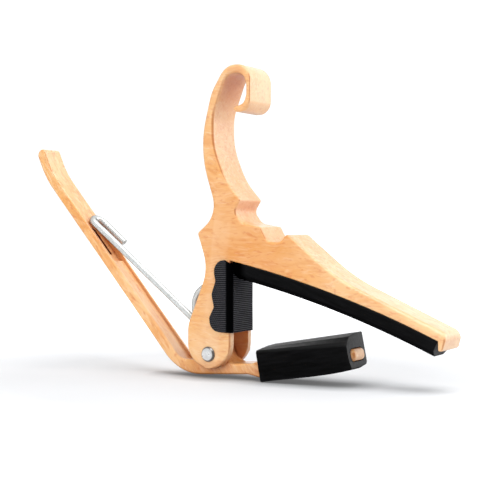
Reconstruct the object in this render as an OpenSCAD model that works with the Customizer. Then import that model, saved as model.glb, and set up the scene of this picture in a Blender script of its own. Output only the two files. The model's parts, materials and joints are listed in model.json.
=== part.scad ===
// Spring-loaded guitar capo.
// X runs from the handles to the tip of the fretting arm, Z is up, Y runs across the width.
// The origin is on the axis of the pivot rivet, half way between the two cheeks.

/* [Frame] */
// Width of the upper frame
frame_w = 12.6; // [11.2:0.1:13]
// Width of the slot between the two cheeks
slot_w = 8.2; // [8.1:0.1:8.6]
// Distance from the pivot axis to the front face of the neck
front_x = 7.15; // [7.15:0.05:7.6]
// Thickness of the web that closes the slot at the front
web_t = 1.6; // [1.2:0.1:1.6]
// Radius of the round lower end of the cheeks
cheek_r = 7.2; // [6.8:0.1:7.4]
// Thickness of the fixed handle at its thinnest place
grip_t = 3.9; // [3.4:0.1:4.4]
// Height of the hook's top above the pivot axis
hook_top = 82; // [81:0.5:85]

/* [Fretting arm] */
// Radius of the fretboard that the pad is curved to
fretboard_r = 305; // [254:1:400]
// Angle of the arm below the horizontal, with the jaws closed
arm_tilt = 18.6; // [18.2:0.1:19]
// Thickness of the fretting pad
pad_t = 4.8; // [3.5:0.1:5]
// Width of the flat underside of the fretting pad
pad_flat_w = 6.6; // [5:0.1:9]
// Height of the chamfers along the fretting pad
pad_chamfer_h = 1.7; // [1:0.1:2.5]

/* [Neck pad] */
// Thickness of the ribbed rubber wrap
wrap_t = 0.7; // [0.5:0.1:1]
// Radius of the wrap's two long outer corners
wrap_corner_r = 1.8; // [1:0.1:2]

/* [Lever] */
// Width of the lever
lever_w = 7.8; // [7.4:0.1:7.8]
// Thickness of the lever bar
lever_t = 3.3; // [3:0.1:3.6]
// Depth of the shallow channel on the inner side of the lever
channel_d = 0.8; // [0.5:0.1:1.2]
// Width of each rail beside the channel
rail_w = 1.1; // [0.9:0.1:1.4]
// Depth of the pocket below the rails
pocket_d = 1.9; // [1.5:0.1:2.1]
// Length of the pocket
pocket_len = 16; // [14:0.5:20]
// Thickness of the centre rib that the spring hook straddles
rib_w = 2.5; // [2:0.1:2.6]
// Height of the centre rib above the rails
rib_h = 2.3; // [1.5:0.1:2.6]
// Radius of the hub around the rivet
hub_r = 3.1; // [2.9:0.1:3.4]
// Width of the lower arm inside the boot
arm_w = 7.8; // [7.6:0.1:8.4]
// Height of the lower arm inside the boot
arm_h = 3.7; // [3.2:0.1:3.9]

/* [Boot] */
// Length of the rubber boot
boot_len = 28; // [24:0.5:29]
// Height of the rubber boot
boot_h = 9.6; // [8.6:0.1:10]
// Width of the rubber boot
boot_w = 12; // [11.6:0.1:13]
// Angle of the lower arm above the horizontal, with the jaws closed
boot_tilt = 10; // [9:0.5:11]

/* [Spring] */
// Diameter of the spring wire
wire_d = 2; // [1.8:0.05:2]
// Mean radius of the coil
coil_r = 6.3; // [5.9:0.05:6.3]
// Distance between the two parallel wires of the U hook
hook_w = 4.8; // [4.8:0.1:5]
// Angle of the long leg below the horizontal, with the jaws closed
leg_tilt = 38; // [38:0.05:38.6]
// Length of the long leg between the coil and the U hook
leg_len = 47.6; // [46:0.1:49]
// Length of the short return wire of the U hook
return_len = 9.6; // [6:0.1:11]

/* [Rivet] */
// Diameter of the rivet's shank
shank_d = 3.2; // [2.8:0.1:3.4]
// Diameter of the rivet's heads
head_d = 4.4; // [4:0.1:4.8]
// Thickness of each rivet head
head_t = 0.8; // [0.5:0.1:1]
// Radial gap between the shank and the lever's bore
running_gap = 0.05; // [0.02:0.01:0.1]

/* [Hidden] */

$fn = 64;
eps = 0.01;
// Longer than any piece reaches from the origin
far = 90;
// Gap left between fixed pieces that lie against each other
seat_gap = 0.03;
// Largest distance from the facets of a rounded corner to its true arc, and its largest step
arc_error = 0.015;
arc_step_max = 12;

wood_finish = "#F8C08C";
black_rubber = "#1B1B1B";
ribbed_rubber = "#2E2E31";
spring_steel = "#DDE2E2";
rivet_steel = "#C9CBCD";

// Round lower end of the cheeks, level with the lower end of the front web
cheek_c = [front_x - cheek_r, 3];
web_bottom = 6.4;
slot_top = 23.6;
slot_top_r = 2.5;

// Arcs of the fretting arm: both ends of the pad as angles about one centre below the arm
jaw_mid = [41.9, 12.4];
jaw_c = jaw_mid - fretboard_r * [sin(arm_tilt), cos(arm_tilt)];
seat_r = fretboard_r + pad_t;
lip_x = 69.1;
// Gap between the wrap and the upright end of the pad
pad_end_gap = 0.2;
pad_x0 = front_x + wrap_t + pad_end_gap;
pad_x1 = lip_x - 0.1;
pad_w = frame_w - 0.2;
pad_arc_fn = 720;

// Lever bar: origin at the upper end of the pocket, on the inner face, u down the bar, n out of it
bar_tilt = 49.3;
bar_o = [-46, 38.3];
bar_u = [cos(bar_tilt), -sin(bar_tilt)];
bar_n = [sin(bar_tilt), cos(bar_tilt)];
tip_tilt = 66.5;
tip_n = [sin(tip_tilt), cos(tip_tilt)];
tip_bend = -19.7;
tip_top = 60.6;
lever_bottom = -6.6;
// Top of the inner side where the bar bends into the lower arm, and top of that arm
bend_top = -2.1;
arm_top = -2.6;
channel_w = lever_w - 2 * rail_w;
pocket_w = lever_w - 1.8;
// Centre of the rib's nose, and the depth of its root below the rails
rib_nose = 2.8;
rib_root = -pocket_d - 0.5;

// Boot: origin at the lower edge of its inner end, u along the arm, v up through the section
boot_o = [16.7, -6.7];
boot_u = [cos(boot_tilt), sin(boot_tilt)];
boot_v = [-sin(boot_tilt), cos(boot_tilt)];
boot_floor = 1.8;
boot_corner_r = 1.2;
tip_proud = 1.2;
// How far the boot's underside hangs below the arm's seat line, at its inner and outer end
boot_drop = [0.3, 1.2];

// Spring: angles are seen from -Y, counterclockwise from +X
coil_c = [-1.85, 13.1];
leg_angle = 270 - leg_tilt;
coil_end_angle = 1080;
coil_turns = (coil_end_angle - leg_angle) / 360;
coil_pitch = hook_w / coil_turns;
moving_arc = 330;
short_leg_len = 8.6;

// ---------------------------------------------------------------- outline helpers

function unit(v) = v / norm(v);
function at(p) = [p[0], p[1]];

// Arc that rounds corner q, given as [x, z, radius], between its neighbours p and n
function corner_arc(p, q, n) =
    q[2] == 0 ? [at(q)] :
    let (a = unit(at(p) - at(q)),
         b = unit(at(n) - at(q)),
         half = acos(a * b) / 2,
         centre = at(q) + unit(a + b) * q[2] / sin(half),
         from = at(q) + a * q[2] / tan(half) - centre,
         to = at(q) + b * q[2] / tan(half) - centre,
         start = atan2(from[1], from[0]),
         swing = atan2(to[1], to[0]) - start,
         turn = swing > 180 ? swing - 360 : swing < -180 ? swing + 360 : swing,
         step = min(arc_step_max, 2 * acos(1 - arc_error / q[2])),
         steps = max(1, ceil(abs(turn) / step)))
    [for (i = [0:steps])
        centre + q[2] * [cos(start + turn * i / steps), sin(start + turn * i / steps)]];

// Closed outline through corners given as [x, z, radius]
function rounded(corners) =
    let (count = len(corners))
    [for (i = [0:count - 1])
        each corner_arc(corners[(i + count - 1) % count], corners[i], corners[(i + 1) % count])];

// Extrudes an outline drawn in X and Z symmetrically across Y
module across(width) {
    rotate([90, 0, 0])
        linear_extrude(height = width, center = true)
            children();
}

// A cylinder along Y through a point given in X and Z
module cross_cylinder(d, width, p = [0, 0]) {
    translate([p[0], 0, p[1]])
        rotate([90, 0, 0])
            cylinder(d = d, h = width, center = true);
}

// ---------------------------------------------------------------- upper frame

function seat_angle(x) = asin((x - jaw_c[0]) / seat_r);
function seat_point(angle) = jaw_c + seat_r * [sin(angle), cos(angle)];

// Round lower end of the cheeks, from the front to the back
function cheek_corners() = [
    [front_x, cheek_c[1] - cheek_r, cheek_r - eps],
    [front_x - 2 * cheek_r, cheek_c[1] - cheek_r, cheek_r - eps]
];

// Back of the neck and the fixed handle, from the cheeks up to the top of the hook
function back_corners() = [
    [front_x - 2 * cheek_r, 8, 9],
    [-0.5, 24.3, 12],
    [-3.9, 34.6, 0.9],
    [5.5 - grip_t + 1.1, 39.9, 7.5],
    [0.5 - grip_t, 58.9, 30],
    [0.6, hook_top - 7.7, 10],
    [5.4, hook_top, 5.2]
];

// The hook, round its tip and back along its inner side to the grip
function hook_corners() = [
    [13.7, hook_top, 4.6],
    [13.6, 68.6, 3.2],
    [8.2, 68.6, 0.83],
    [8.2, 70.3, 0.83],
    [12.2, 70.3, 3.1],
    [12.2, hook_top - 2.4, 3.6],
    [5.9, hook_top - 2.4, 3.4],
    [1.6, 68.2, 12]
];

// Front of the grip, the two steps above the fretting arm and the bump at its root
function step_corners() = [
    [1.6, 59.4, 20],
    [5.65, 49.35, 22],
    [10.5, 43.85, 0.7],
    [8.5, 40.6, 2.2],
    [11, 37.3, 3.5],
    [16.9, 36.3, 0.7],
    [19.3, 32.1, 2.4],
    [22.9, 32.1, 1.8],
    [25.2, 34.5, 1.1]
];

// Top of the fretting arm and the lip that ends it
function arm_corners() = [
    [40.5, 22.4, 50],
    [71.6, 8.8, 2.2],
    [70.2, 4.2, 0.7],
    [lip_x, 4.5, 0.45]
];

// Curved seat of the fretting pad, from the lip back to the neck
function seat_corners() =
    let (from = seat_angle(lip_x), to = seat_angle(front_x), steps = 12)
    [for (i = [0:steps]) concat(seat_point(from + (to - from) * i / steps), 0)];

module frame_outline() {
    polygon(rounded(concat(cheek_corners(), back_corners(), hook_corners(), step_corners(),
                           arm_corners(), seat_corners())));
}

// Room for the coil and the lever: open at the back and below, closed in front by the web
module slot_outline() {
    reach = 14;
    polygon(rounded([[-reach, -reach, 0],
                     [-reach, slot_top, 0],
                     [front_x - web_t, slot_top, slot_top_r],
                     [front_x - web_t, web_bottom, 0],
                     [reach, web_bottom, 0],
                     [reach, -reach, 0]]));
}

module upper_frame() {
    color(wood_finish)
        difference() {
            across(frame_w) frame_outline();
            across(slot_w) slot_outline();
            cross_cylinder(shank_d + 2 * seat_gap, frame_w + 2);
        }
}

// ---------------------------------------------------------------- squeeze lever

// Point on the bar, s down its length and h out of its inner face
function bar(s, h) = bar_o + s * bar_u + h * bar_n;
// Point of the boot, s along the arm and h up through its section
function boot(s, h) = boot_o + s * boot_u + h * boot_v;
function corner(p, r) = [p[0], p[1], r];
// Corner where the bar bends towards its tip, h out of the inner faces of both stretches
function tip_corner(h) = bar(tip_bend, 0) + h * (bar_n + tip_n) / (1 + bar_n * tip_n);
// Point on the line through the bend corner, up to height z
function tip_point(h, z) =
    let (p = tip_corner(h)) [p[0] - (z - p[1]) / tan(tip_tilt), z];
// Place where the bar's line h out of its inner face reaches height z
function bar_at(h, z) = bar((bar(0, h)[1] - z) / sin(bar_tilt), h);

module lever_outline() {
    polygon(rounded([
        corner(tip_point(-lever_t, tip_top - 0.2), 1.8),
        corner(tip_point(0, tip_top + 0.1), 1.3),
        corner(tip_corner(0), 27),
        corner(bar_at(0, bend_top), 4),
        [0, bend_top, 0],
        [6.2, arm_top, 1],
        [12.6, arm_top + 0.4, 3],
        corner(boot(-0.6, boot_floor + arm_h), 1.2),
        corner(boot(boot_len + tip_proud, boot_floor + arm_h), 1.2),
        corner(boot(boot_len + tip_proud, boot_floor), 1.2),
        corner(boot(0, boot_floor), 0),
        corner(boot(0, 0.35), 0),
        [11.6, -5.35, 3.5],
        corner(bar_at(-lever_t, lever_bottom - 0.15), 15),
        corner(tip_corner(-lever_t), 30)
    ]));
    hub_outline();
}

// Hub around the rivet, with a hollow flank that runs out into the lower arm
module hub_outline() {
    flank = 25;
    circle(r = hub_r);
    polygon(rounded([concat(hub_r * [cos(flank), sin(flank)], 0),
                     [3.9, -1.4, 5],
                     [6.9, arm_top + 0.02, 0],
                     [4, -4, 0],
                     [-hub_r, -4, 0],
                     [-hub_r, 0, 0]]));
}

// Plan of the lever: narrow between the cheeks, then as wide as the boot's hole, round at its tip
module lever_plan() {
    back = -far;
    flare = [11, 14.4];
    flare_r = arm_w == lever_w ? 0 : 3;
    tip = boot(boot_len + tip_proud, boot_floor)[0];
    tip_r = 1.5;
    polygon(rounded([[back, -lever_w / 2, 0],
                     [flare[0], -lever_w / 2, flare_r],
                     [flare[1], -arm_w / 2, flare_r],
                     [tip, -arm_w / 2, tip_r],
                     [tip, arm_w / 2, tip_r],
                     [flare[1], arm_w / 2, flare_r],
                     [flare[0], lever_w / 2, flare_r],
                     [back, lever_w / 2, 0]]));
}

// Shallow channel that runs down the inner side from the pocket into the bend
module channel_outline() {
    end_x = -6.5;
    start = pocket_len - 1;
    polygon(rounded([corner(bar(start, -channel_d), 0),
                     corner(bar_at(-channel_d, bend_top - channel_d), 3.5),
                     [end_x, bend_top - channel_d, 0],
                     [end_x, 0, 0],
                     corner(bar(start, 4), 0)]));
}

module pocket_outline() {
    polygon([bar(0.6, 1), bar(1.4, -pocket_d), bar(pocket_len - 0.6, -pocket_d), bar(pocket_len, 1)]);
}

// The centre rib, highest at the hook and running out down the pocket
module rib_outline() {
    polygon(rounded([corner(bar(rib_nose, rib_root), 0),
                     corner(bar(rib_nose, rib_h), 0),
                     corner(bar(rib_nose + 4, rib_h), 5),
                     corner(bar(rib_nose + 10, rib_root), 0)]));
}

// Round nose of the rib, which stands inside the bend of the spring hook
module rib_nose_post() {
    root = bar(rib_nose, rib_root);
    translate([root[0], 0, root[1]])
        rotate([0, bar_tilt, 0])
            cylinder(d = rib_w, h = rib_h - rib_root);
}

module squeeze_lever() {
    color(wood_finish)
        difference() {
            union() {
                difference() {
                    intersection() {
                        across(arm_w) lever_outline();
                        linear_extrude(height = 2 * far, center = true) lever_plan();
                    }
                    across(channel_w) channel_outline();
                    across(pocket_w) pocket_outline();
                }
                across(rib_w) rib_outline();
                rib_nose_post();
            }
            cross_cylinder(shank_d + 2 * running_gap, lever_w + 4);
        }
}

// ---------------------------------------------------------------- rivet

// Half section of the rivet, radius against distance from the middle of the shank
module rivet_section() {
    r = shank_d / 2;
    top_r = 0.4 * head_d;
    out = frame_w / 2 + seat_gap;
    polygon([[0, -out - head_t], [top_r, -out - head_t], [head_d / 2, -out - 0.4 * head_t],
             [head_d / 2, -out], [r, -out],
             [r, out], [head_d / 2, out],
             [head_d / 2, out + 0.4 * head_t], [top_r, out + head_t], [0, out + head_t]]);
}

module pivot_rivet() {
    color(rivet_steel)
        rotate([90, 0, 0])
            rotate_extrude()
                rivet_section();
}

// ---------------------------------------------------------------- spring

// Wire centre line of the coil at an angle, wound from -Y to +Y
function coil_point(angle) = [
    coil_c[0] + coil_r * cos(angle),
    -hook_w / 2 + coil_pitch * (angle - leg_angle) / 360,
    coil_c[1] + coil_r * sin(angle)
];

// Ring of points around a wire at path[i], in the plane square to the path
function wire_ring(path, i, sides) =
    let (ahead = path[min(i + 1, len(path) - 1)],
         behind = path[max(i - 1, 0)],
         along = unit(ahead - behind),
         side = unit(cross(along, [0, 1, 0])),
         up = cross(side, along))
    [for (k = [0:sides - 1])
        path[i] + wire_d / 2 * (side * cos(360 * k / sides) + up * sin(360 * k / sides))];

// Solid wire along a path of points
module wire_along(path, sides = 20) {
    rings = len(path);
    points = [for (i = [0:rings - 1]) each wire_ring(path, i, sides)];
    skin = [for (i = [0:rings - 2], k = [0:sides - 1])
        [i * sides + k, i * sides + (k + 1) % sides,
         (i + 1) * sides + (k + 1) % sides, (i + 1) * sides + k]];
    first = [[for (k = [0:sides - 1]) sides - 1 - k]];
    last = [[for (k = [0:sides - 1]) (rings - 1) * sides + k]];
    polyhedron(points = points, faces = concat(skin, first, last));
}

// Fixed part of the coil and the short leg that lies against the front web
module spring_coil() {
    steps_per_turn = 48;
    start = leg_angle + 360;
    steps = round((coil_end_angle - start) / 360 * steps_per_turn);
    turns = [for (i = [0:steps]) coil_point(start + (coil_end_angle - start) * i / steps)];
    end = turns[steps];
    short_leg = [for (k = [1:4]) end + [0, 0, short_leg_len * k / 4]];
    color(spring_steel)
        wire_along(concat(turns, short_leg));
}

// Part of the coil nearest the leg, the long leg and the U hook
module spring_leg() {
    bend_r = hook_w / 2;
    color(spring_steel)
        translate([coil_c[0], 0, coil_c[1]]) {
            translate([0, -bend_r, 0])
                rotate([90, 0, 0])
                    rotate([0, 0, leg_angle])
                        rotate_extrude(angle = moving_arc, $fn = 96)
                            translate([coil_r, 0])
                                circle(d = wire_d, $fn = 32);
            // Local frame of the leg: X up the leg towards the hook, Z square to it towards the lever
            rotate([0, 180 + leg_tilt, 0]) {
                for (y = [-1, 1])
                    translate([y < 0 ? 0 : leg_len - return_len, y * bend_r, coil_r])
                        rotate([0, 90, 0])
                            cylinder(d = wire_d, h = y < 0 ? leg_len : return_len, $fn = 32);
                translate([leg_len, 0, coil_r])
                    rotate([0, 0, -90])
                        rotate_extrude(angle = 180, $fn = 96)
                            translate([bend_r, 0])
                                circle(d = wire_d, $fn = 32);
            }
        }
}

// ---------------------------------------------------------------- rubber pieces

// Cross-section of the fretting pad, radius about the arm's centre against width
module pad_section() {
    top = seat_r - seat_gap;
    polygon([[top, -pad_w / 2], [top, pad_w / 2],
             [fretboard_r + pad_chamfer_h, pad_w / 2], [fretboard_r, pad_flat_w / 2],
             [fretboard_r, -pad_flat_w / 2], [fretboard_r + pad_chamfer_h, -pad_w / 2]]);
}

module fretting_pad() {
    from = seat_angle(pad_x0 - 1);
    to = seat_angle(pad_x1);
    color(black_rubber)
        difference() {
            translate([jaw_c[0], 0, jaw_c[1]])
                rotate([90, 0, 0])
                    rotate([0, 0, 90 - to])
                        rotate_extrude(angle = to - from, $fn = pad_arc_fn)
                            pad_section();
            translate([pad_x0 - far, -far, -far])
                cube([far, 2 * far, 2 * far]);
        }
}

// Side view of the wrap: straight in front, with three lobes at the back of each flap
module wrap_outline() {
    polygon(rounded([[front_x + wrap_t + 1, 26.1, 0],
                     [front_x, 26.1, 0],
                     [5.6, 26.9, 0.8],
                     [2.1, 26.7, 3.2],
                     [2.35, 22.9, 2],
                     [2.8, 20.9, 1.2],
                     [1.45, 17.2, 2],
                     [2.25, 13.5, 1.2],
                     [0.7, 10.6, 1.6],
                     [1, 6.7, 3.2],
                     [front_x + wrap_t + 1, 6.2, 0]]));
}

// Plan of the wrap: a U around the front of the neck
module wrap_plan() {
    inner = frame_w / 2 + seat_gap;
    outer = frame_w / 2 + wrap_t;
    difference() {
        polygon(rounded([[-4, -outer, 0],
                         [front_x + wrap_t, -outer, wrap_corner_r],
                         [front_x + wrap_t, outer, wrap_corner_r],
                         [-4, outer, 0]]));
        polygon([[-5, -inner], [front_x + seat_gap, -inner],
                 [front_x + seat_gap, inner], [-5, inner]]);
    }
}

module neck_pad() {
    color(ribbed_rubber)
        intersection() {
            linear_extrude(height = far) wrap_plan();
            across(frame_w + 4) wrap_outline();
        }
}

// Section of the boot across the arm, with the hole for the arm
module boot_section() {
    difference() {
        polygon(rounded([[-boot_w / 2, -boot_drop[1] - 1, 0],
                         [boot_w / 2, -boot_drop[1] - 1, 0],
                         [boot_w / 2, boot_h, boot_corner_r],
                         [-boot_w / 2, boot_h, boot_corner_r]]));
        translate([-arm_w / 2 - seat_gap, boot_floor - seat_gap])
            square([arm_w + 2 * seat_gap, arm_h + 2 * seat_gap]);
    }
}

// All that lies below the boot's slanting underside
module below_boot() {
    polygon([boot(0, -boot_drop[0]), boot(boot_len, -boot_drop[1]),
             boot(boot_len + 2, -boot_drop[1] - 3), boot(-2, -boot_drop[1] - 3),
             boot(-2, -boot_drop[0])]);
}

module arm_boot() {
    color(black_rubber)
        difference() {
            translate([boot_o[0], 0, boot_o[1]])
                rotate([0, -boot_tilt, 0])
                    rotate([90, 0, 90])
                        linear_extrude(height = boot_len)
                            boot_section();
            across(boot_w + 2) below_boot();
        }
}

upper_frame();
squeeze_lever();
pivot_rivet();
spring_coil();
spring_leg();
fretting_pad();
neck_pad();
arm_boot();
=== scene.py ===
"""Looks of a spring-loaded guitar capo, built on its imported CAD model.

Metres, in the CAD frame: X runs from the handles to the tip of the fretting arm, Z is up, and
Y runs across the width, along the pivot rivet. The origin is the middle of the rivet.
The near side, which the camera sees, is -Y.
"""

import json
import math

import bmesh
import bpy
import numpy as np
from mathutils import Matrix, Vector


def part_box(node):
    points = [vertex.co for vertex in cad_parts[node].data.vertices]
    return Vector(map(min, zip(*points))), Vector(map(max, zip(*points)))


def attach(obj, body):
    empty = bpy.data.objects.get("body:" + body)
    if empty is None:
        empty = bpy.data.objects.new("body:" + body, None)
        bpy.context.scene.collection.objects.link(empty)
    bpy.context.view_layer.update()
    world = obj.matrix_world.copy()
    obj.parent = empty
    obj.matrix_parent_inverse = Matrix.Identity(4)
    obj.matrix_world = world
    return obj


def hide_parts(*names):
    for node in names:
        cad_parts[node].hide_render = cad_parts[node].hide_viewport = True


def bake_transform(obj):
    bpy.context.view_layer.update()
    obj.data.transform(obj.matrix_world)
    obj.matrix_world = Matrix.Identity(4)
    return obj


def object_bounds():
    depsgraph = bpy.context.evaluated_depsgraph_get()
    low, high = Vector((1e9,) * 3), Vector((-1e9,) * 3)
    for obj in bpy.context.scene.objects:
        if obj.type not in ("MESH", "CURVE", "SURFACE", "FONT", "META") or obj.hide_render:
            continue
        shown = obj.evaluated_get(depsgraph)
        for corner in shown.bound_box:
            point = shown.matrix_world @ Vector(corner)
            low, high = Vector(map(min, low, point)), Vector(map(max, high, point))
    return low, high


MM = 0.001

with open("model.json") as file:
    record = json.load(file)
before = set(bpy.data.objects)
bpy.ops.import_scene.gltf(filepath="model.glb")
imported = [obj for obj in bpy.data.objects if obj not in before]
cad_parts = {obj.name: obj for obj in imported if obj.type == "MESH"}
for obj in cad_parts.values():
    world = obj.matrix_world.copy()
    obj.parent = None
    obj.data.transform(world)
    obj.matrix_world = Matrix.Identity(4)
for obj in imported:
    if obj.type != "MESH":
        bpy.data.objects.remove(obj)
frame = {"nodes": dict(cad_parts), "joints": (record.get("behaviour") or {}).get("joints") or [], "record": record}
cad_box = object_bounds()
joints = {j["name"]: j for j in frame["joints"]}
mounts = {m["name"]: m for m in frame["record"]["mounts"]}

# ---------------------------------------------------------------- mesh helpers


def add_mesh(name, verts, faces, material, smooth_angle=40):
    """A new mesh object, smooth except at edges sharper than smooth_angle degrees."""
    mesh = bpy.data.meshes.new(name)
    mesh.from_pydata([tuple(v) for v in verts], [], faces)
    mesh.materials.append(material)
    obj = bpy.data.objects.new(name, mesh)
    bpy.context.scene.collection.objects.link(obj)
    shade(obj, smooth_angle)
    return obj


def shade(obj, smooth_angle):
    """Outward normals, smooth faces, and sharp edges marked by angle."""
    bm = bmesh.new()
    bm.from_mesh(obj.data)
    bmesh.ops.recalc_face_normals(bm, faces=bm.faces)
    for face in bm.faces:
        face.smooth = True
    for edge in bm.edges:
        edge.smooth = edge.calc_face_angle(0) < math.radians(smooth_angle)
    bm.to_mesh(obj.data)
    bm.free()


def cad_copy(node):
    """A welded bmesh of a CAD node."""
    bm = bmesh.new()
    bm.from_mesh(frame["nodes"][node].data)
    bmesh.ops.remove_doubles(bm, verts=bm.verts, dist=0.001 * MM)
    bm.verts.index_update()
    bm.normal_update()
    return bm


def cad_object(node):
    """A throwaway object with the CAD node's shape."""
    bm = cad_copy(node)
    mesh = bpy.data.meshes.new(node)
    bm.to_mesh(mesh)
    bm.free()
    obj = bpy.data.objects.new(node + "_copy", mesh)
    bpy.context.scene.collection.objects.link(obj)
    return obj


def weighted_normals(obj):
    """Lets the large flat faces set the shading, so that rounded edges read as a cast radius."""
    obj.modifiers.new("face_weighted_normals", "WEIGHTED_NORMAL").keep_sharp = True


def boolean(obj, cutter, operation, smooth_angle=40):
    """Applies an exact boolean with a throwaway cutter. Both are in millimetres while it runs."""
    for each in (obj, cutter):
        each.data.transform(Matrix.Scale(1 / MM, 4))
    modifier = obj.modifiers.new(operation.lower(), "BOOLEAN")
    modifier.operation = operation
    modifier.solver = "EXACT"
    modifier.object = cutter
    bpy.context.view_layer.update()
    done = bpy.data.meshes.new_from_object(obj.evaluated_get(bpy.context.evaluated_depsgraph_get()))
    done.transform(Matrix.Scale(MM, 4))
    obj.modifiers.clear()
    obj.data = done
    bpy.data.objects.remove(cutter)
    shade(obj, smooth_angle)


def rounded_outline(corners, step=10, steps=None):
    """Closed outline through corners given as (x, y, radius), with arcs of equal or given steps."""
    points = []
    for i, (x, y, radius) in enumerate(corners):
        q = np.array([x, y])
        before = np.array(corners[i - 1][:2]) - q
        after = np.array(corners[(i + 1) % len(corners)][:2]) - q
        a, b = before / np.linalg.norm(before), after / np.linalg.norm(after)
        if radius == 0:
            points.append(q)
            continue
        half = math.acos(np.clip(a @ b, -1, 1)) / 2
        centre = q + (a + b) / np.linalg.norm(a + b) * radius / math.sin(half)
        start = q + a * radius / math.tan(half) - centre
        turn = math.pi - 2 * half
        way = np.sign(a[1] * b[0] - a[0] * b[1])
        count = steps or max(2, math.ceil(math.degrees(turn) / step))
        for k in range(count + 1):
            c, s = math.cos(way * turn * k / count), math.sin(way * turn * k / count)
            points.append(centre + np.array([c * start[0] - s * start[1],
                                             s * start[0] + c * start[1]]))
    return np.array(points)


def skin(rings):
    """Faces that join rings of equally many points, with flat caps on both ends."""
    count, sides = len(rings), len(rings[0])
    faces = [(i * sides + k, i * sides + (k + 1) % sides,
              (i + 1) * sides + (k + 1) % sides, (i + 1) * sides + k)
             for i in range(count - 1) for k in range(sides)]
    faces.append(tuple(reversed(range(sides))))
    faces.append(tuple((count - 1) * sides + k for k in range(sides)))
    return faces


def loft(name, rings, material, smooth_angle=40):
    """A closed body through rings of equally many points."""
    return add_mesh(name, [p for ring in rings for p in ring], skin(rings), material, smooth_angle)


def wire(name, path, radius, material, end_chamfer=0.0, sides=24):
    """A round wire along a path, its far end cut square and deburred."""
    path = np.array(path, float)
    along = np.gradient(path, axis=0)
    along /= np.linalg.norm(along, axis=1)[:, None]
    radii = np.full(len(path), radius)
    if end_chamfer:
        tip = path[-1]
        path = np.vstack([path[:-1], tip - along[-1] * end_chamfer, tip])
        along = np.vstack([along, along[-1:]])
        radii = np.append(radii, radius - end_chamfer)
    side = np.cross(along[0], [0.3, 0.9, 0.1])
    rings = []
    for p, t, r in zip(path, along, radii):
        side = side - t * (side @ t)
        side /= np.linalg.norm(side)
        up = np.cross(t, side)
        rings.append([p + r * (side * math.cos(a) + up * math.sin(a))
                      for a in np.linspace(0, 2 * math.pi, sides, endpoint=False)])
    return loft(name, rings, material)


# ---------------------------------------------------------------- material helpers


class Shader:
    """A material built node by node, all of it from the piece's own coordinates."""

    def __init__(self, name):
        self.material = bpy.data.materials.new(name)
        self.material.use_nodes = True
        self.tree = self.material.node_tree
        self.tree.nodes.clear()
        self.surface = self.add("BsdfPrincipled")
        output = self.add("OutputMaterial")
        self.tree.links.new(self.surface.outputs[0], output.inputs["Surface"])
        self.place = self.add("TexCoord").outputs["Object"]

    def add(self, kind, inputs=None, **settings):
        node = self.tree.nodes.new("ShaderNode" + kind)
        for key, value in settings.items():
            setattr(node, key, value)
        for key, value in (inputs or {}).items():
            self.put(node.inputs[key], value)
        return node

    def put(self, socket, value):
        if isinstance(value, bpy.types.NodeSocket):
            self.tree.links.new(value, socket)
        else:
            socket.default_value = value

    def set(self, **inputs):
        """Inputs of the surface, with underscores for spaces."""
        for key, value in inputs.items():
            self.put(self.surface.inputs[key.replace("_", " ")], value)

    def vector(self, operation, a, b):
        return self.add("VectorMath", {0: a, 1: b}, operation=operation).outputs[0]

    def warped(self, scale, reach):
        """The coordinates, pushed about by up to reach metres in waves of 1/scale metres."""
        wave = self.add("TexNoise", {"Vector": self.place, "Scale": scale, "Detail": 2.0})
        push = self.vector("SUBTRACT", wave.outputs["Color"], (0.5, 0.5, 0.5))
        return self.vector("ADD", self.place, self.vector("MULTIPLY", push, (2 * reach,) * 3))

    def stretched(self, angle, scale, place=None):
        """Coordinates turned about Y so that X runs along a direction angle degrees above +X."""
        turned = self.add("Mapping", {"Vector": place or self.place,
                                      "Rotation": (0, math.radians(angle), 0)})
        return self.add("Mapping", {"Vector": turned.outputs[0], "Scale": scale}).outputs[0]

    def noise(self, vector, scale, detail=4, roughness=0.55, distortion=0.0):
        return self.add("TexNoise", {"Vector": vector, "Scale": scale, "Detail": detail,
                                     "Roughness": roughness, "Distortion": distortion}).outputs[0]

    def spread(self, value, low, high, to_low=0.0, to_high=1.0):
        """Maps value from low..high to to_low..to_high, held at the ends."""
        return self.add("MapRange", {"Value": value, "From Min": low, "From Max": high,
                                     "To Min": to_low, "To Max": to_high}).outputs[0]

    def math(self, operation, a, b=0.0):
        return self.add("Math", {0: a, 1: b}, operation=operation).outputs[0]

    def mix(self, factor, a, b, how="MIX"):
        node = self.add("Mix", data_type="RGBA", blend_type=how)
        self.put(node.inputs[0], factor)
        self.put(node.inputs[6], a)
        self.put(node.inputs[7], b)
        return node.outputs[2]

    def facing(self, direction, either_side=False):
        """Cosine between a direction and the surface normal, its Y without sign if asked."""
        normal = self.add("TexCoord").outputs["Normal"]
        if either_side:
            part = self.add("SeparateXYZ", {0: normal}).outputs
            y = self.math("ABSOLUTE", part[1])
            normal = self.add("CombineXYZ", {0: part[0], 1: y, 2: part[2]}).outputs[0]
        return self.add("VectorMath", {0: normal, 1: direction},
                        operation="DOT_PRODUCT").outputs["Value"]

    def distance(self, vector, point=(0, 0, 0)):
        away = self.vector("SUBTRACT", vector, point)
        return self.add("VectorMath", {0: away}, operation="LENGTH").outputs["Value"]

    def openness(self, reach):
        """1 where nothing is near, down to 0 in narrow hollows, looking up to reach metres off."""
        return self.add("AmbientOcclusion", {"Distance": reach}).outputs["AO"]

    def edges(self, low=0.505, high=0.56):
        """1 on convex edges, 0 on flats and in hollows."""
        return self.spread(self.add("NewGeometry").outputs["Pointiness"], low, high)

    def bump(self, height, depth, below=None):
        """Normal from a height map of the given depth in metres, on top of another normal."""
        inputs = {"Height": height, "Distance": depth, "Strength": 1.0}
        if below is not None:
            inputs["Normal"] = below
        return self.add("Bump", inputs).outputs[0]


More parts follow.
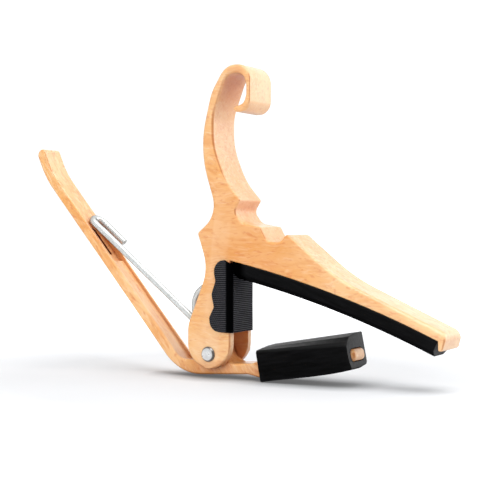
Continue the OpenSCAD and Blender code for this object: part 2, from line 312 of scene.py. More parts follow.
def srgb(red, green, blue):
    """A colour given by its 0 to 255 display values, as linear light."""
    def linear(c):
        c /= 255
        return c / 12.92 if c <= 0.04045 else ((c + 0.055) / 1.055) ** 2.4
    return (linear(red), linear(green), linear(blue), 1)


MAPLE_MID = srgb(242, 173, 95)
MAPLE_LIGHT = srgb(249, 194, 131)
MAPLE_PALE = srgb(253, 212, 166)
MAPLE_DEEP = srgb(229, 144, 68)
MAPLE_RED = srgb(219, 112, 48)
# Painted reflection: the pale colour mixed into faces turned to +X
MAPLE_PAINTED_SHEEN = srgb(255, 234, 212)
# Painted shade: the brown multiplied into hollows
HOLLOW_SHADE_TINT = srgb(206, 138, 72)
# Painted reflection: the dark colour multiplied into rounded edges
EDGE_REFLECTION_TINT = srgb(200, 146, 82)
# Direction, on either side, of the rounded edges that are painted darker, a painted reflection of a dark flag
EDGE_DIRECTION = (0.72, 0.69, 0.05)


def maple(name, angle, rich_at=None):
    """Lacquered maple print on metal, its grain along a direction angle degrees above +X.

    The colour is richer round the point rich_at and paler away from it, partly the print's own variation and
    partly painted light standing in for pale reflections.
    """
    m = Shader(name)
    wavy = m.warped(55, 3.5 * MM)
    cloud = m.noise(m.stretched(angle, (1, 1.5, 2), wavy), 70, detail=3)
    band = m.noise(m.stretched(angle, (1, 4, 6), wavy), 75, detail=3, roughness=0.5)
    streak = m.noise(m.stretched(angle, (1, 5, 8), wavy), 150, detail=3, roughness=0.55)
    fleck = m.noise(m.stretched(angle, (1, 2.5, 3.2), wavy), 430, detail=2, roughness=0.5)
    pale = m.noise(m.stretched(angle, (1, 4, 6), wavy), 260, detail=2)

    colour = m.mix(m.spread(cloud, 0.38, 0.62), MAPLE_MID, MAPLE_LIGHT)
    colour = m.mix(m.spread(band, 0.5, 0.66, 0, 0.5), colour, MAPLE_DEEP)
    colour = m.mix(m.spread(pale, 0.52, 0.68, 0, 0.55), colour, MAPLE_PALE)
    colour = m.mix(m.spread(streak, 0.54, 0.68, 0, 0.75), colour, MAPLE_DEEP)
    colour = m.mix(m.spread(fleck, 0.58, 0.7, 0, 0.6), colour, MAPLE_RED)
    if rich_at is not None:
        # Richer near the point, paler away: partly print variation, partly painted light
        away = m.distance(wavy, rich_at)
        colour = m.mix(m.spread(away, 12 * MM, 26 * MM, 0.4, 0), colour, MAPLE_DEEP)
        colour = m.mix(m.spread(away, 20 * MM, 40 * MM, 0, 0.3), colour, MAPLE_PALE)
    # Convex edges paler: a painted highlight along the rounded edges, partly the print's wear there too
    paler_by = m.math("MULTIPLY", m.edges(), m.spread(cloud, 0.35, 0.6, 0.2, 0.5))
    colour = m.mix(paler_by, colour, MAPLE_PALE)
    # Painted reflection: faces turned to +X mixed towards a pale sheen
    colour = m.mix(m.spread(m.facing((1, 0, 0)), 0.5, 0.9, 0, 0.18), colour, MAPLE_PAINTED_SHEEN)
    # Painted reflection: rounded edges turned this way darkened, as a dark reflection would
    dark_edge_reflection = m.spread(m.facing(EDGE_DIRECTION, either_side=True), 0.9, 0.98, 0, 0.7)
    colour = m.mix(dark_edge_reflection, colour, EDGE_REFLECTION_TINT, "MULTIPLY")
    # Painted shade: darker and browner in hollows, from ambient occlusion
    hollow_shade = m.spread(m.openness(12 * MM), 0.2, 0.75, 0.6, 0)
    colour = m.mix(hollow_shade, colour, HOLLOW_SHADE_TINT, "MULTIPLY")
    m.set(Base_Color=colour)
    m.set(Roughness=m.spread(m.noise(m.place, 260, detail=3), 0.35, 0.65, 0.3, 0.42))
    m.set(Coat_Weight=0.5, Coat_Roughness=m.spread(cloud, 0.3, 0.7, 0.06, 0.15), Coat_IOR=1.5)
    grain = m.bump(streak, 0.012 * MM)
    m.set(Normal=m.bump(m.noise(m.place, 150, detail=1), 0.05 * MM, grain))
    m.set(Coat_Normal=m.bump(m.noise(m.place, 120, detail=1), 0.03 * MM))
    return m.material


def black_rubber(name, angle, tone, painted_shadow_x=None):
    """Black rubber: faint draw marks along a direction, paler cut ends, convex edges lighter as a painted
    highlight, and a painted shadow, black, below a given X.
    """
    m = Shader(name)
    marks = m.noise(m.stretched(angle, (1, 9, 9)), 160, detail=4)
    dust = m.noise(m.place, 900, detail=2)
    base = m.mix(m.spread(marks, 0.35, 0.7), srgb(tone - 4, tone - 4, tone - 4),
                 srgb(tone + 4, tone + 4, tone + 5))
    # Painted highlight: convex edges mixed lighter
    base = m.mix(m.math("MULTIPLY", m.edges(0.51, 0.6), 0.3), base, srgb(64, 64, 66))
    end_on = m.facing((math.cos(math.radians(angle)), 0, math.sin(math.radians(angle))))
    cut = m.spread(m.math("ABSOLUTE", end_on), 0.93, 0.98)
    base = m.mix(cut, base, m.mix(m.spread(dust, 0.4, 0.7), srgb(38, 38, 39), srgb(48, 48, 49)))
    shine = m.spread(m.facing((0, 0, 1)), 0.3, 0.9, 0.0, 0.6)
    # Painted shadow: black, and without shine, below the given X, by the neck
    if painted_shadow_x is not None:
        x = m.add("SeparateXYZ", {0: m.place}).outputs[0]
        base = m.mix(m.spread(x, painted_shadow_x - 2 * MM, painted_shadow_x), srgb(2, 2, 2), base)
        shine = m.spread(x, painted_shadow_x - 2 * MM, painted_shadow_x, 0.0, shine)
    m.set(Base_Color=base, Specular_IOR_Level=m.spread(cut, 0, 1, shine, 0.22))
    m.set(Roughness=m.spread(m.math("ADD", marks, dust), 0.7, 1.3, 0.46, 0.64))
    skin_bump = m.bump(dust, 0.012 * MM)
    m.set(Normal=m.bump(marks, 0.05 * MM, skin_bump))
    return m.material


def ribbed_rubber(name):
    """Charcoal rubber of the neck pad: grey crests with dust specks, lighter as a painted highlight, and
    near-black grooves and corner bands, a painted shade.
    """
    m = Shader(name)
    dust = m.noise(m.place, 1400, detail=3)
    blotch = m.noise(m.place, 220, detail=2)
    crest = m.add("Attribute", attribute_name="crest").outputs["Fac"]
    # Painted light: crests grey as a painted highlight, grooves and corner bands near black as painted shade
    base = m.mix(crest, srgb(4, 4, 5), srgb(84, 84, 89))
    base = m.mix(m.math("MULTIPLY", crest, m.spread(dust, 0.45, 0.7, 0, 0.4)), base,
                 srgb(98, 96, 98))
    m.set(Base_Color=base)
    m.set(Roughness=m.spread(blotch, 0.35, 0.65, 0.62, 0.8))
    m.set(Specular_IOR_Level=m.spread(crest, 0, 1, 0.0, 0.15))
    m.set(Normal=m.bump(dust, 0.02 * MM))
    return m.material


def zinc_wire(name):
    """Bright zinc on spring wire, with draw marks, small dull pits, and painted shade darkening it towards its
    outline.
    """
    m = Shader(name)
    tarnish = m.noise(m.place, 260, detail=3)
    pit = m.noise(m.place, 800, detail=2, roughness=0.7)
    colour = m.mix(m.spread(tarnish, 0.4, 0.68), srgb(234, 237, 236), srgb(212, 216, 213))
    colour = m.mix(m.spread(pit, 0.68, 0.76, 0, 0.6), colour, srgb(160, 158, 140))
    # Painted shade: the wire darker where it turns away, towards its outline
    limb_shade = m.spread(m.add("LayerWeight", {"Blend": 0.5}).outputs["Facing"], 0.35, 0.85)
    colour = m.mix(limb_shade, colour, srgb(112, 116, 114))
    m.set(Base_Color=colour, Metallic=0.5)
    m.set(Roughness=m.spread(tarnish, 0.35, 0.7, 0.24, 0.4))
    m.set(Normal=m.bump(pit, 0.02 * MM, m.bump(m.noise(m.place, 500, detail=2), 0.012 * MM)))
    return m.material


def rivet_steel(name):
    """Pressed steel of the rivet: a top bright from wear, and a darker, mottled rim."""
    m = Shader(name)
    rim = m.spread(m.distance(m.vector("MULTIPLY", m.place, (1, 0, 1))), 1.66 * MM, 1.84 * MM)
    stain = m.noise(m.place, 700, detail=4)
    colour = m.mix(m.spread(stain, 0.4, 0.7), srgb(246, 247, 247), srgb(224, 225, 225))
    colour = m.mix(m.math("MULTIPLY", rim, m.spread(stain, 0.3, 0.6, 0.7, 1.0)), colour,
                   srgb(104, 98, 92))
    m.set(Base_Color=colour, Metallic=0.7)
    m.set(Roughness=m.spread(stain, 0.35, 0.7, 0.26, 0.46))
    m.set(Normal=m.bump(stain, 0.015 * MM))
    return m.material


def floor_white(name):
    """Pale floor: dark right under the object, where a painted contact shadow adds to the cast one, a soft shadow
    by it, glowing white farther out.
    """
    m = Shader(name)
    tone = m.noise(m.place, 40, detail=2)
    away = m.distance(m.vector("MULTIPLY", m.place, (1, 1, 0)))
    glow = m.spread(away, *FLOOR_FADE, *FLOOR_GLOW)
    lit = m.mix(tone, srgb(222, 224, 227), srgb(226, 228, 231))
    # Painted shadow: the floor darkened where the object is near, from ambient occlusion
    m.set(Base_Color=m.mix(m.math("POWER", m.openness(9 * MM), 1.3), srgb(60, 60, 62), lit))
    m.set(Roughness=0.9, Specular_IOR_Level=0.1)
    seen = m.add("LightPath").outputs["Is Camera Ray"]
    m.set(Emission_Color=(1, 1, 1, 1), Emission_Strength=m.math("MULTIPLY", glow, seen))
    return m.material


# ---------------------------------------------------------------- castings

EDGE_R = 0.8 * MM
HOOK_EDGE_R = 1.05 * MM
SEAT_EDGE_R = 0.4 * MM
TIP_EDGE_R = 2 * MM
LEVER_EDGE_R = 0.65 * MM
ARM_END_R = 1.3 * MM
ARM_END_SIZE = (7.3 * MM, 3.4 * MM)
ARM_END_PROUD = 0.95 * MM
LIP_X = 69.2 * MM
NECK_X = 6.5 * MM
SEAT_Z = 27 * MM
SKIN = 0.01 * MM


def side_outline(node, reach):
    """Outline of a casting's near side, as points (x, y, z), where it lies beyond y = -reach."""
    bm = cad_copy(node)

    def on_side(face):
        return face.normal.y < -0.3 and all(v.co.y < -reach for v in face.verts)

    after = {}
    for face in filter(on_side, bm.faces):
        for loop in face.loops:
            other = loop.link_loop_radial_next.face
            if not on_side(other):
                after[loop.vert.index] = loop.link_loop_next.vert.index
    loops = []
    while after:
        start, here = after.popitem()
        chain = [start]
        while here != start:
            chain.append(here)
            here = after.pop(here)
        loops.append(chain)
    bm.verts.ensure_lookup_table()
    points = np.array([bm.verts[i].co for i in max(loops, key=len)])
    bm.free()
    gaps = np.linalg.norm(points - np.roll(points, 1, axis=0), axis=1)
    return points[gaps > 0.002 * MM]


def inward(outline):
    """Unit direction into the outline at each point, and how far along it keeps its distance."""
    before = outline - np.roll(outline, 1, axis=0)
    after = np.roll(outline, -1, axis=0) - outline
    before /= np.linalg.norm(before, axis=1)[:, None]
    after /= np.linalg.norm(after, axis=1)[:, None]
    area = np.sum(outline[:, 0] * np.roll(outline[:, 1], -1)
                  - outline[:, 1] * np.roll(outline[:, 0], -1))
    way = 1 if area > 0 else -1
    normal = before + after
    normal = way * np.column_stack([-normal[:, 1], normal[:, 0]])
    normal /= np.linalg.norm(normal, axis=1)[:, None]
    cosine = np.abs(np.sum(normal * np.column_stack([-before[:, 1], before[:, 0]]), axis=1))
    return normal / np.maximum(cosine, 0.35)[:, None]


def crossing(ring):
    """True for each segment of a closed ring that cuts another one of it."""
    a, b = ring[:, None], np.roll(ring, -1, axis=0)[:, None]
    c, d = ring[None], np.roll(ring, -1, axis=0)[None]

    def side(p, q, r):
        return ((q[..., 0] - p[..., 0]) * (r[..., 1] - p[..., 1])
                - (q[..., 1] - p[..., 1]) * (r[..., 0] - p[..., 0]))

    cut = (side(a, b, c) * side(a, b, d) < 0) & (side(c, d, a) * side(c, d, b) < 0)
    return cut.any(axis=1)


def smoothstep(x, low, high):
    t = np.clip((x - low) / (high - low), 0, 1)
    return t * t * (3 - 2 * t)


def fitting_radii(outline, direction, radii):
    """The wanted edge radius at each point, less where the outline is too tight for it."""
    apart = np.linalg.norm(outline[:, None] - outline[None], axis=2)
    while True:
        bad = crossing(outline + direction * radii[:, None])
        if not bad.any():
            return radii
        radii = np.where(bad | np.roll(bad, 1), 0.85 * radii, radii)
        radii = np.min(radii[None] + 0.7 * apart, axis=1)


def rounded_plate(name, outline, half_width, edge_radius, material, steps=6):
    """A plate with this outline in X and Z and width 2 half_width(x), its two outer edges rounded.

    edge_radius(points, inward directions) is the radius wanted at each point.
    """
    direction = inward(outline)
    outline = outline + direction * SKIN
    radii = fitting_radii(outline, direction, edge_radius(outline, direction))
    near = []
    for angle in np.linspace(0, math.pi / 2, steps):
        at = outline + direction * (radii * (1 - math.cos(angle)))[:, None]
        drop = radii * (1 - math.sin(angle))
        near.append(np.column_stack([at[:, 0], drop - half_width(at[:, 0]) + SKIN, at[:, 1]]))
    far = [ring * (1, -1, 1) for ring in near]
    return loft(name, near[::-1] + far, material)


def make_upper_frame(material):
    """The frame's outer shape with cast edges, cut by the CAD solid's slot and bore."""
    outline = side_outline("upper_frame", 5 * MM)
    half = -outline[0][1]

    def edge_radius(points, direction):
        """Grows up the hook and towards the arm's tip, but stays small along the pad's seat."""
        x, z = points.T
        seat = (direction[:, 1] > 0.3) & (x > NECK_X) & (x < LIP_X) & (z < SEAT_Z)
        return np.where(seat, SEAT_EDGE_R, EDGE_R
                        + (HOOK_EDGE_R - EDGE_R) * smoothstep(z, 45 * MM, 65 * MM)
                        + (TIP_EDGE_R - EDGE_R) * smoothstep(x, 0.45 * LIP_X, 0.97 * LIP_X))

    obj = rounded_plate("upper_frame_casting", outline[:, [0, 2]],
                        lambda x: np.full(len(x), half), edge_radius, material)
    boolean(obj, cad_object("upper_frame"), "INTERSECT")
    weighted_normals(obj)
    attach(obj, "frame_body")
    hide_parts("upper_frame")


# The lever's straight bar: where its pocket starts, and the directions down it and out of it
BAR_TILT = math.radians(49.3)
BAR_ORIGIN = Vector((-46, 0, 38.3)) * MM
BAR_DOWN = Vector((math.cos(BAR_TILT), 0, -math.sin(BAR_TILT)))
BAR_OUT = Vector((math.sin(BAR_TILT), 0, math.cos(BAR_TILT)))
POCKET_FLOOR = -1.88 * MM
POCKET_HALF = 2.98 * MM
# The rib: level to the shoulder, then bent into a slope, and diving into the pocket's floor
RIB_NOSE = 2.8 * MM
RIB_SHOULDER = 5.1 * MM
RIB_BEND = 3 * MM
RIB_SLOPE = 0.783
RIB_DIVE = 7.5 * MM
RIB_DIVE_BEND = 3.3 * MM
RIB_END = 10 * MM
RIB_HALF = 1.24 * MM
RIB_TOP = 2.28 * MM
RIB_ROOT = -2.3 * MM
RIB_ROUND = 0.8 * MM


def bar_point(s, y, h):
    """Point at s down the lever's bar from the pocket, y across and h out of its inner face."""
    return BAR_ORIGIN + BAR_DOWN * s + BAR_OUT * h + Vector((0, y, 0))


def pocket_block(material):
    """The space of the spring's pocket, just clear of its floor and walls."""
    side = [(0.7 * MM, 3.2 * MM), (1.5 * MM, POCKET_FLOOR), (15.3 * MM, POCKET_FLOOR),
            (15.9 * MM, 3.2 * MM)]
    rings = [[bar_point(s, y, h) for s, h in side] for y in (-POCKET_HALF, POCKET_HALF)]
    return loft("pocket_block", rings, material)


def centre_rib(material):
    """The rib inside the spring's hook: round nose, rounded top, running out into the pocket."""
    nose = [(RIB_NOSE - RIB_HALF * math.sin(a), max(RIB_HALF * math.cos(a), 0.02 * MM))
            for a in np.linspace(math.pi / 2, 0, 9)]
    stations = nose + [(s, RIB_HALF) for s in np.linspace(RIB_NOSE, RIB_END, 21)[1:]]
    rings = []
    for s, half in stations:
        past = max(s - RIB_SHOULDER, 0)
        bent = past ** 2 / (2 * RIB_BEND) if past < RIB_BEND else past - RIB_BEND / 2
        top = RIB_TOP - RIB_SLOPE * bent - max(s - RIB_DIVE, 0) ** 2 / RIB_DIVE_BEND
        into = s - (RIB_NOSE - RIB_HALF)
        if into < RIB_ROUND:
            top -= RIB_ROUND - math.sqrt(RIB_ROUND ** 2 - (RIB_ROUND - into) ** 2)
        top = max(top, RIB_ROOT + 0.3 * MM)
        r = min(RIB_ROUND, half, top - RIB_ROOT)
        arc = [(half - r * (1 - math.cos(a)), top - r * (1 - math.sin(a)))
               for a in np.linspace(0, math.pi / 2, 7)]
        section = [(half, RIB_ROOT)] + arc + [(-y, h) for y, h in reversed(arc)] + [(-half, RIB_ROOT)]
        rings.append([bar_point(s, y, h) for y, h in section])
    return loft("rib", rings, material)


def boot_place(s, y, v):
    """Point at s along the boot from its inner end, y across and v above its underside."""
    up = Vector(mounts["boot_rest"]["axis"])
    along = Vector((up.z, 0, -up.x))
    origin = Vector(mounts["boot_rest"]["pos_m"]) - up * BOOT_TOP - along * BOOT_LEN / 2
    return origin + along * s + up * v + Vector((0, y, 0))


def boot_block(material):
    """The space round the last part of the lower arm, inside the boot and beyond."""
    corners = [(-9 * MM, -3 * MM), (9 * MM, -3 * MM), (9 * MM, 12 * MM), (-9 * MM, 12 * MM)]
    rings = [[boot_place(s, y, v) for y, v in corners]
             for s in (BOOT_LEN - 6 * MM, BOOT_LEN + 9 * MM)]
    return loft("boot_block", rings, material)


def arm_end(material):
    """The end of the lower arm, rounded all over like a worn peg."""
    half, tall = ARM_END_SIZE[0] / 2, ARM_END_SIZE[1] / 2
    reach = BOOT_LEN + ARM_END_PROUD
    stations = [(BOOT_LEN - 7 * MM, 0.0)]
    stations += [(reach - ARM_END_R * (1 - math.sin(a)), ARM_END_R * (1 - math.cos(a)))
                 for a in np.linspace(0, math.radians(84), 8)]
    rings = []
    for s, inset in stations:
        y, v, r = half - inset, tall - inset, ARM_END_R - 0.9 * inset
        section = rounded_outline([(-y, -v, r), (y, -v, r), (y, v, r), (-y, v, r)], steps=6)
        rings.append([boot_place(s, a, ARM_MIDDLE + b) for a, b in section])
    return loft("arm_end", rings, material)


def make_squeeze_lever(material):
    """The lever's outer shape with cast edges, cut by the CAD solid's channel, pocket and bore.

    The end of its lower arm is built anew, rounder than the CAD solid's.
    Known fault: pocket_block takes the CAD solid's rib out, and the union with centre_rib fails,
    so that the pocket has an open slot in its floor and no rib.
    """
    outline = side_outline("squeeze_lever", 3.2 * MM)
    order = np.argsort(outline[:, 0])
    xs, widths = outline[order, 0], -outline[order, 1]

    def half_width(x):
        return np.interp(x, xs, widths)

    def edge_radius(points, _):
        return np.full(len(points), LEVER_EDGE_R)

    obj = rounded_plate("squeeze_lever_casting", outline[:, [0, 2]], half_width, edge_radius,
                        material)
    boolean(obj, cad_object("squeeze_lever"), "INTERSECT")
    boolean(obj, pocket_block(material), "DIFFERENCE")
    boolean(obj, centre_rib(material), "UNION")
    boolean(obj, boot_block(material), "DIFFERENCE")
    boolean(obj, arm_end(material), "UNION")
    weighted_normals(obj)
    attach(obj, "lever_body")
    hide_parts("squeeze_lever")


# ---------------------------------------------------------------- rivet


def make_rivet(material):
    """Turned rivet: flat top, chamfer with rounded shoulders, and a plain shank."""
    low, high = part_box("pivot_rivet")
    out = high.y
    head_r = (high.x - low.x) / 2
    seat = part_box("upper_frame")[1].y + 0.03 * MM
    shank_r = 1.6 * MM
    top_r = 0.74 * head_r
    head = [(out, 0), (out, 0.9 * top_r), (out - 0.03 * MM, 1.0 * top_r),
            (out - 0.12 * MM, 1.1 * top_r), (seat + 0.2 * MM, head_r - 0.05 * MM),
            (seat + 0.1 * MM, head_r), (seat, head_r - 0.04 * MM), (seat, shank_r)]
    profile = [(y, r) for y, r in head] + [(-y, r) for y, r in reversed(head)]
    sides = 48
    rings = [[(r * math.cos(a), y, r * math.sin(a))
              for a in np.linspace(0, 2 * math.pi, sides, endpoint=False)]
             for y, r in profile if r > 0]
    obj = loft("pivot_rivet_turned", rings, material, smooth_angle=50)
    weighted_normals(obj)
    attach(obj, "frame_body")
    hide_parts("pivot_rivet")


# ---------------------------------------------------------------- spring

LEG_TILT = math.radians(38)
LEG_LEN = 47.6 * MM
RETURN_LEN = 9.6 * MM
SHORT_LEG = 8.6 * MM
TURN_END = math.radians(1080)


def make_spring(material):
    """One bent wire, built as a coil fixed in place and a leg which rides by itself; the real coil winds up
    between the frame and the leg.
    """
    centre = Vector(joints["spring_leg_swing"]["pos_m"])
    low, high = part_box("spring_coil")
    leg_low, leg_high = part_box("spring_leg")
    wire_r = 1.0 * MM
    coil_r = (high.x - low.x) / 2 - wire_r
    half = (leg_high.y - leg_low.y) / 2 - wire_r
    start = math.radians(270) - LEG_TILT

    def coil_point(angle):
        share = (angle - start) / (TURN_END - start)
        return (centre.x + coil_r * math.cos(angle), half * (2 * share - 1),
                centre.z + coil_r * math.sin(angle))

    turns = [coil_point(a) for a in np.linspace(start, TURN_END, 220)]
    end = turns[-1]
    path = turns + [(end[0], half, end[2] + SHORT_LEG * k / 8) for k in range(1, 9)]
    coil = wire("spring_coil_wire", path, wire_r, material, end_chamfer=0.12 * MM)
    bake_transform(coil)
    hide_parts("spring_coil")

    along = Vector((-math.cos(LEG_TILT), 0, math.sin(LEG_TILT)))
    tangent = Vector(coil_point(start))
    leg = [tangent + along * LEG_LEN * k / 24 for k in range(25)]
    hook = [leg[-1] + along * half * math.sin(a) + Vector((0, half * (1 - math.cos(a)), 0))
            for a in np.linspace(0, math.pi, 25)[1:]]
    back = [hook[-1] - along * RETURN_LEN * k / 8 for k in range(1, 9)]
    long_leg = wire("spring_leg_wire", [tuple(p) for p in leg + hook + back], wire_r, material,
                    end_chamfer=0.1 * MM)
    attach(long_leg, "spring_leg_body")
    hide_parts("spring_leg")


# ---------------------------------------------------------------- rubber pieces


def make_fretting_pad(material):
    obj = cad_object("fretting_pad")
    obj.name = "fretting_pad_moulded"
    obj.data.materials.append(material)
    bevel = obj.modifiers.new("moulded_edges", "BEVEL")
    bevel.width = 0.3 * MM
    bevel.segments = 3
    bevel.limit_method = "ANGLE"
    bevel.angle_limit = math.radians(30)
    shade(obj, 40)
    weighted_normals(obj)
    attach(obj, "frame_body")
    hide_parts("fretting_pad")


RIB_PITCH = 0.55 * MM
RIB_DEPTH = 0.15 * MM
NICK_PITCH = 0.62 * MM
NICK_DEPTH = 0.05 * MM
WRAP_CORNER_R = 1.8 * MM
# How light the crests on the flaps are, as a share of those on the front
FLAP_CREST_SHARE = 0.75


def flap_outline():
    """Side outline of the neck pad, from the inner face of the CAD node's far flap."""
    bm = cad_copy("neck_pad")
    bmesh.ops.dissolve_limit(bm, verts=bm.verts, edges=bm.edges, angle_limit=math.radians(0.5))
    inner = max((f for f in bm.faces if f.normal.y < -0.9 and f.calc_center_median().y > 0),
                key=lambda f: f.calc_area())
    points = [v.co.copy() for v in inner.verts]
    bm.free()
    return points


def make_neck_pad(material):
    """Ribbed wrap: a finely ribbed sheet bent round the neck, trimmed to the lobed outline."""
    low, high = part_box("neck_pad")
    front, side = high.x, high.y
    outline = flap_outline()
    inner_front = max(p.x for p in outline)
    inner_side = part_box("upper_frame")[1].y + 0.03 * MM
    back = low.x - 1 * MM
    corner = Vector((front - WRAP_CORNER_R, side - WRAP_CORNER_R))

    flat_side = corner.x - back
    arc = WRAP_CORNER_R * math.pi / 2
    flat_front = 2 * corner.y
    length = 2 * flat_side + 2 * arc + flat_front

    def plan(s):
        """Point and outward normal at distance s along the outer face, from the near flap's back."""
        mirror = s > length / 2
        s = length - s if mirror else s
        if s < flat_side:
            p, n = Vector((back + s, -side)), Vector((0, -1))
        elif s < flat_side + arc:
            a = (s - flat_side) / WRAP_CORNER_R - math.pi / 2
            n = Vector((math.cos(a), math.sin(a)))
            p = Vector((corner.x, -corner.y)) + n * WRAP_CORNER_R
        else:
            p, n = Vector((front, s - flat_side - arc - corner.y)), Vector((1, 0))
        return (Vector((p.x, -p.y)), Vector((n.x, -n.y))) if mirror else (p, n)

    def ribbed(s):
        """1 on the flaps and the front, 0 on the smooth band round each corner."""
        s = min(s, length - s)
        off = abs(s - flat_side - arc / 2) / (arc / 2)
        return float(np.clip((off - 0.75) / 0.3, 0, 1))

    columns = np.linspace(0, length, round(length / (0.14 * MM)))
    rows = np.arange(low.z - 0.5 * MM, high.z + 0.5 * MM, RIB_PITCH / 7)
    verts, crest = [], []
    for z in rows:
        row_no = math.floor(z / RIB_PITCH)
        rib = 0.5 - 0.5 * math.cos(2 * math.pi * z / RIB_PITCH)
        for s in columns:
            p, n = plan(s)
            nick = max(0.0, math.cos(2 * math.pi * (s / NICK_PITCH + 0.5 * (row_no % 2)))) ** 3
            depth = ribbed(s) * (RIB_DEPTH * (1 - rib ** 0.7) + NICK_DEPTH * nick * rib)
            depth += (1 - ribbed(s)) * 0.08 * MM
            verts.append((p.x - n.x * depth, p.y - n.y * depth, z))
            paler_by = 1 if flat_side + arc < s < length - flat_side - arc else FLAP_CREST_SHARE
            # The crest value sets the colour: 0 in the grooves and on the smooth corner bands paints them near
            # black, a painted shade
            crest.append(paler_by * ribbed(s) * rib * (1 - 0.6 * nick))
    for z in rows:
        for s in columns:
            p, _ = plan(s)
            verts.append((min(p.x, inner_front), float(np.clip(p.y, -inner_side, inner_side)), z))
    wide, tall = len(columns), len(rows)
    face = wide * tall

    def quad(i, k, base):
        return [base + i * wide + k, base + i * wide + k + 1,
                base + (i + 1) * wide + k + 1, base + (i + 1) * wide + k]

    faces = []
    for i in range(tall - 1):
        for k in range(wide - 1):
            faces.append(quad(i, k, 0))
            faces.append(quad(i, k, face)[::-1])
    rim = [k for k in range(wide)] + [i * wide + wide - 1 for i in range(1, tall)]
    rim += [(tall - 1) * wide + k for k in range(wide - 2, -1, -1)]
    rim += [i * wide for i in range(tall - 2, 0, -1)]
    for a, b in zip(rim, rim[1:] + rim[:1]):
        faces.append([b, a, face + a, face + b])

    obj = add_mesh("neck_pad_ribbed", verts, faces, material, smooth_angle=75)
    attribute = obj.data.attributes.new("crest", "FLOAT", "POINT")
    attribute.data.foreach_set("value", np.array(crest + [0.0] * face, np.float32))

    reach = side + 1 * MM
    outline = [(p.x + (1.5 * MM if p.x > inner_front - 0.01 * MM else 0), p.z) for p in outline]
    rings = [[(x, y, z) for x, z in outline] for y in (-reach, reach)]
    boolean(obj, loft("wrap_trim", rings, material), "INTERSECT")
    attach(obj, "frame_body")
    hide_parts("neck_pad")


BOOT_LEN = 28 * MM
BOOT_TOP = 9.6 * MM
ARM_WALL = 1.8 * MM
ARM_SIZE = (7.9 * MM, 3.8 * MM)
ARM_MIDDLE = ARM_WALL + 1.85 * MM
# Corners of the boot's section at its inner and outer end, in millimetres: (across, up, radius)
BOOT_INNER = [(-5.95, -0.3, 0.35), (-6, 3, 12), (-6, 7.9, 0.1), (-5.85, 8.25, 0.08),
              (-5.6, 8.6, 0.25), (-2.1, 9.05, 5), (1.25, 9.4, 5), (6, 9.6, 0.4),
              (6, -0.05, 0.6), (0, -0.3, 20)]
BOOT_OUTER = [(-4.8, -0.12, 0.4), (-6, 2.9, 8), (-6, 6.3, 0.1), (-5.8, 6.7, 0.08),
              (-5.3, 7.5, 0.7), (-3.6, 8.85, 2), (0.6, 9.5, 3.5), (5.65, 9.6, 0.35),
              (6, 0.6, 1), (1, -0.1, 7)]
# The underside sags between the ends, by 4/9 of this at two thirds of the length
BOOT_SAG = 1.0 * MM


def make_arm_boot(material):
    """Moulded boot: a ridge along the near side, its near top edge ever rounder to the outer end."""
    inner = rounded_outline(BOOT_INNER, steps=6) * MM
    outer = rounded_outline(BOOT_OUTER, steps=6) * MM
    end_r = 0.35 * MM
    lip = [(end_r * (1 - math.cos(a)), end_r * (1 - math.sin(a)))
           for a in np.linspace(0, math.pi / 2, 5)]
    stations = [(s, inset) for s, inset in lip]
    stations += [(s, 0.0) for s in np.linspace(0.1 * BOOT_LEN, 0.9 * BOOT_LEN, 17)]
    stations += [(BOOT_LEN - s, inset) for s, inset in reversed(lip)]
    rings = []
    for s, inset in stations:
        share = s / BOOT_LEN
        section = inner + (outer - inner) * share
        low = np.clip((2 * MM - section[:, 1]) / (2.3 * MM), 0, 1)
        section[:, 1] -= BOOT_SAG * 3 * share ** 2 * (1 - share) * low
        middle = section.mean(axis=0)
        shrink = 1 - inset / (BOOT_TOP / 2)
        rings.append([boot_place(s, *(middle + (p - middle) * shrink)) for p in section])
    obj = loft("arm_boot_moulded", rings, material, smooth_angle=30)

    half, tall = ARM_SIZE[0] / 2, ARM_SIZE[1] / 2
    hole = rounded_outline([(-half, ARM_MIDDLE - tall, 1.3 * MM), (half, ARM_MIDDLE - tall, 1.3 * MM),
                            (half, ARM_MIDDLE + tall, 1.3 * MM), (-half, ARM_MIDDLE + tall, 1.3 * MM)])
    rings = [[boot_place(s, y, v) for y, v in hole] for s in (-5 * MM, BOOT_LEN + 5 * MM)]
    boolean(obj, loft("boot_tunnel", rings, material), "DIFFERENCE", smooth_angle=30)
    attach(obj, "lever_body")
    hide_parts("arm_boot")


# ---------------------------------------------------------------- studio

CAMERA_AT = Vector((175.43, -286.34, 36.01)) * MM
CAMERA_AZIMUTH = math.radians(30)
CAMERA_DROP = math.radians(1.09)
CAMERA_LENS = 83.5
FLOOR_SIZE = 6.0
FLOOR_GLOW = (0.12, 1.0)
FLOOR_FADE = (0.06, 0.28)
AMBIENT = 0.3
WORLD_LIGHT = 0.45
BACKDROP = 1.1
# Mirrored surroundings are brighter behind the object, so that top and right faces shine pale
REAR = Vector((0.2, 0.95, 0.24)).normalized()
REAR_REACH = (0.2, 0.85)
REAR_LIGHT = 1.35
# Direction of a dark flag beside the camera, which is mirrored in the front edges
FLAG = Vector((0.84, -0.5, 0.15)).normalized()
FLAG_REACH = (0.8, 0.97)


def area_light(name, at, target, size, watts, mirrored=True):
    """A square light; with mirrored=False it lights the object but isn't seen in its shine."""
    light = bpy.data.lights.new(name, "AREA")
    light.size = size
    light.energy = watts
    obj = bpy.data.objects.new(name, light)
    obj.location = at
    obj.rotation_euler = (Vector(target) - Vector(at)).to_track_quat("-Z", "Y").to_euler()
    obj.visible_glossy = mirrored
    bpy.context.scene.collection.objects.link(obj)


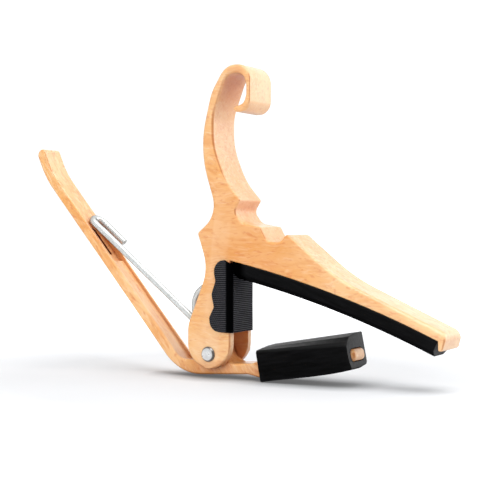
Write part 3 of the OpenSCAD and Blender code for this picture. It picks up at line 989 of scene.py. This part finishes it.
def make_studio():
    floor_z = cad_box[0].z
    half = FLOOR_SIZE / 2
    corners = [(-half, -half, floor_z), (half, -half, floor_z), (half, half, floor_z),
               (-half, half, floor_z)]
    floor = add_mesh("floor", corners, [(0, 1, 2, 3)], floor_white("floor_white"))

    middle = (cad_box[0] + cad_box[1]) / 2
    area_light("overhead", (0.25, -0.1, 0.7), middle, 0.6, 4.1)
    area_light("rear_right", (0.55, 0.4, 0.22), middle, 0.5, 2.1)
    area_light("fill_near", (-0.25, -0.8, 0.35), middle, 0.7, 4.2, mirrored=False)
    make_world()
    bpy.context.scene.view_settings.view_transform = "Standard"


def make_world():
    """White surroundings: even as soft light, plain white to the camera, uneven in reflections."""
    world = bpy.data.worlds.new("white_studio")
    world.use_nodes = True
    tree = world.node_tree

    def add(kind, **settings):
        node = tree.nodes.new("ShaderNode" + kind)
        for key, value in settings.items():
            setattr(node, key, value)
        return node

    def towards(direction, reach, to_low, to_high):
        """A value that goes from to_low to to_high over this range of facing a direction."""
        facing = add("VectorMath", operation="DOT_PRODUCT")
        tree.links.new(add("TexCoord").outputs["Generated"], facing.inputs[0])
        facing.inputs[1].default_value = direction
        value = add("MapRange")
        tree.links.new(facing.outputs["Value"], value.inputs["Value"])
        value.inputs["From Min"].default_value, value.inputs["From Max"].default_value = reach
        value.inputs["To Min"].default_value, value.inputs["To Max"].default_value = to_low, to_high
        return value

    rear = towards(REAR, REAR_REACH, WORLD_LIGHT, REAR_LIGHT)
    flag = towards(FLAG, FLAG_REACH, 0, 0.12 * WORLD_LIGHT)
    tree.links.new(rear.outputs[0], flag.inputs["To Min"])
    path = add("LightPath")
    soft = add("MapRange")
    tree.links.new(path.outputs["Is Diffuse Ray"], soft.inputs["Value"])
    tree.links.new(flag.outputs[0], soft.inputs["To Min"])
    soft.inputs["To Max"].default_value = AMBIENT
    seen = add("MapRange")
    tree.links.new(path.outputs["Is Camera Ray"], seen.inputs["Value"])
    tree.links.new(soft.outputs[0], seen.inputs["To Min"])
    seen.inputs["To Max"].default_value = BACKDROP
    backdrop = tree.nodes["Background"]
    backdrop.inputs["Color"].default_value = (1, 1, 1, 1)
    tree.links.new(seen.outputs[0], backdrop.inputs["Strength"])
    bpy.context.scene.world = world


def make_camera():
    camera = bpy.data.objects.new("camera", bpy.data.cameras.new("camera"))
    camera.data.lens = CAMERA_LENS
    camera.data.sensor_width = 36
    camera.data.clip_start, camera.data.clip_end = 0.01, 20
    camera.location = CAMERA_AT
    look = Vector((-math.sin(CAMERA_AZIMUTH) * math.cos(CAMERA_DROP),
                   math.cos(CAMERA_AZIMUTH) * math.cos(CAMERA_DROP), -math.sin(CAMERA_DROP)))
    camera.rotation_euler = look.to_track_quat("-Z", "Y").to_euler()
    bpy.context.scene.collection.objects.link(camera)
    bpy.context.scene.camera = camera


# ---------------------------------------------------------------- build

make_upper_frame(maple("maple_frame", -4, rich_at=(0.012, 0, 0.032)))
make_squeeze_lever(maple("maple_lever", -49))
make_rivet(rivet_steel("rivet_steel"))
make_spring(zinc_wire("zinc_wire"))
make_fretting_pad(black_rubber("pad_rubber", -18, 15, painted_shadow_x=12.5 * MM))
make_neck_pad(ribbed_rubber("ribbed_rubber"))
make_arm_boot(black_rubber("boot_rubber", 10, 17))
make_studio()
make_camera()
